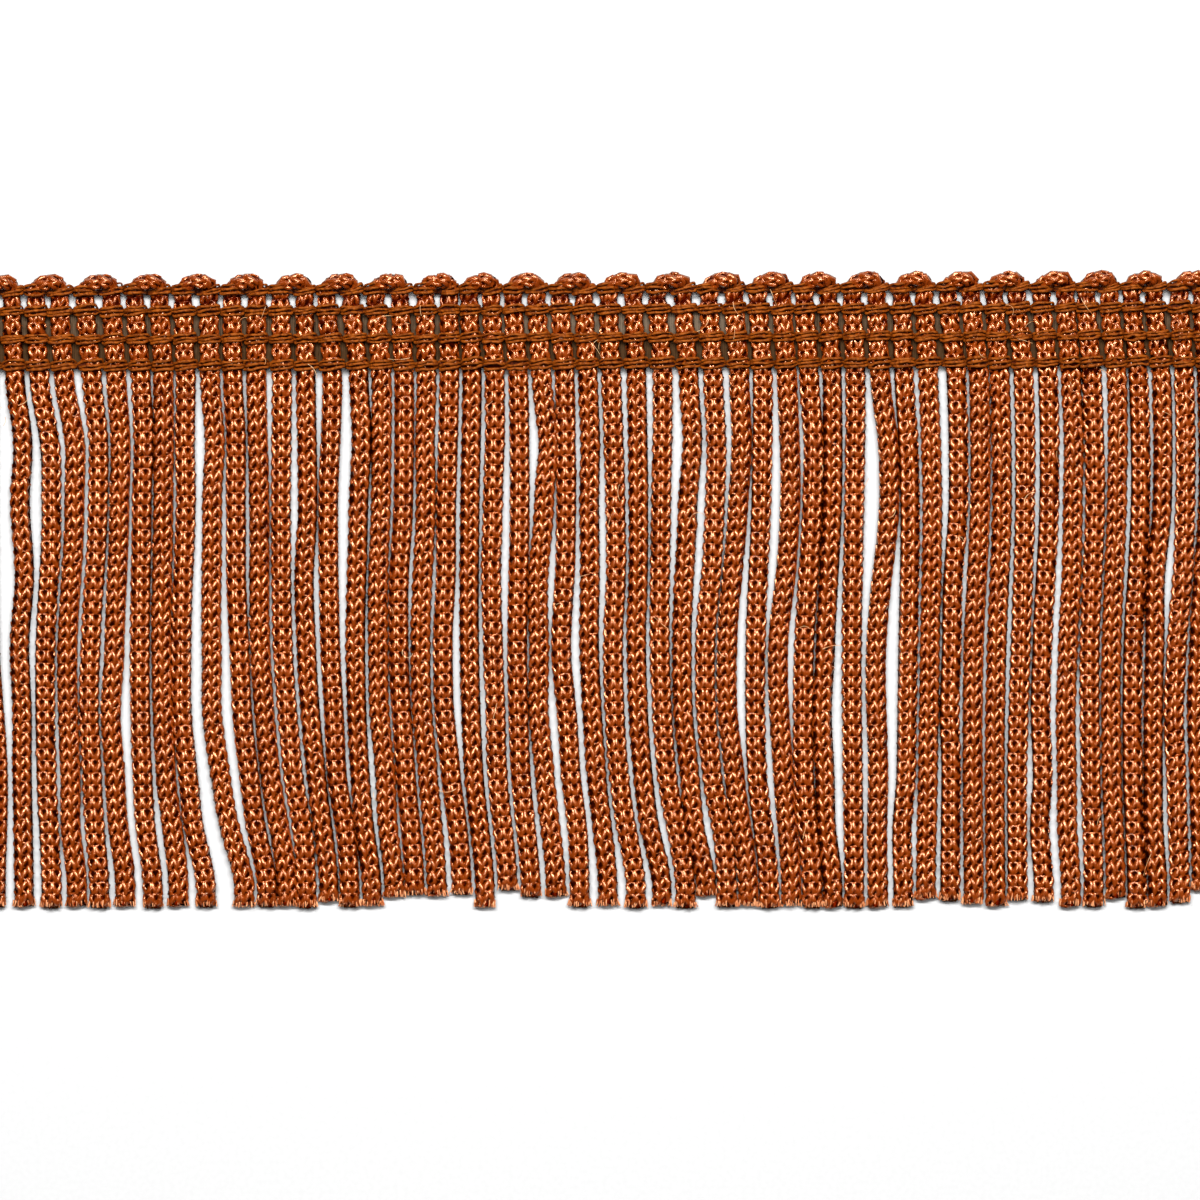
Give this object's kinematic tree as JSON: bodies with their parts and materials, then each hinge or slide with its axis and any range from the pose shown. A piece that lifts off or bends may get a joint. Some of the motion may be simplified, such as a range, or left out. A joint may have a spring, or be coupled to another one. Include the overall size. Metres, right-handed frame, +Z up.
{
  "type": "chainette fringe trim",
  "caption": "Cut length of loop-headed chainette fringe: a narrow crocheted heading with a scalloped edge and close-set knitted cord strands, lying flat.",
  "frame": {"origin": "on the surface that the trim lies on, under the middle of its outline", "axes": "+X along the trim, +Y from the cut ends of the strands towards the scalloped edge, +Z up out of the face"},
  "size_m": [0.1072, 0.0513, 0.0018],
  "materials": {
    "strand_cord": "knitted rayon cord, silky",
    "heading_cord": "knitted rayon cord, silky",
    "chain_yarn": "plied cotton yarn, matt"
  },
  "bodies": {
    "root": {"fringe": "strand_cord", "heading": "heading_cord", "chain_row_1": "chain_yarn", "chain_row_2": "chain_yarn", "chain_row_3": "chain_yarn", "chain_row_4": "chain_yarn"}
  },
  "joints": []
}
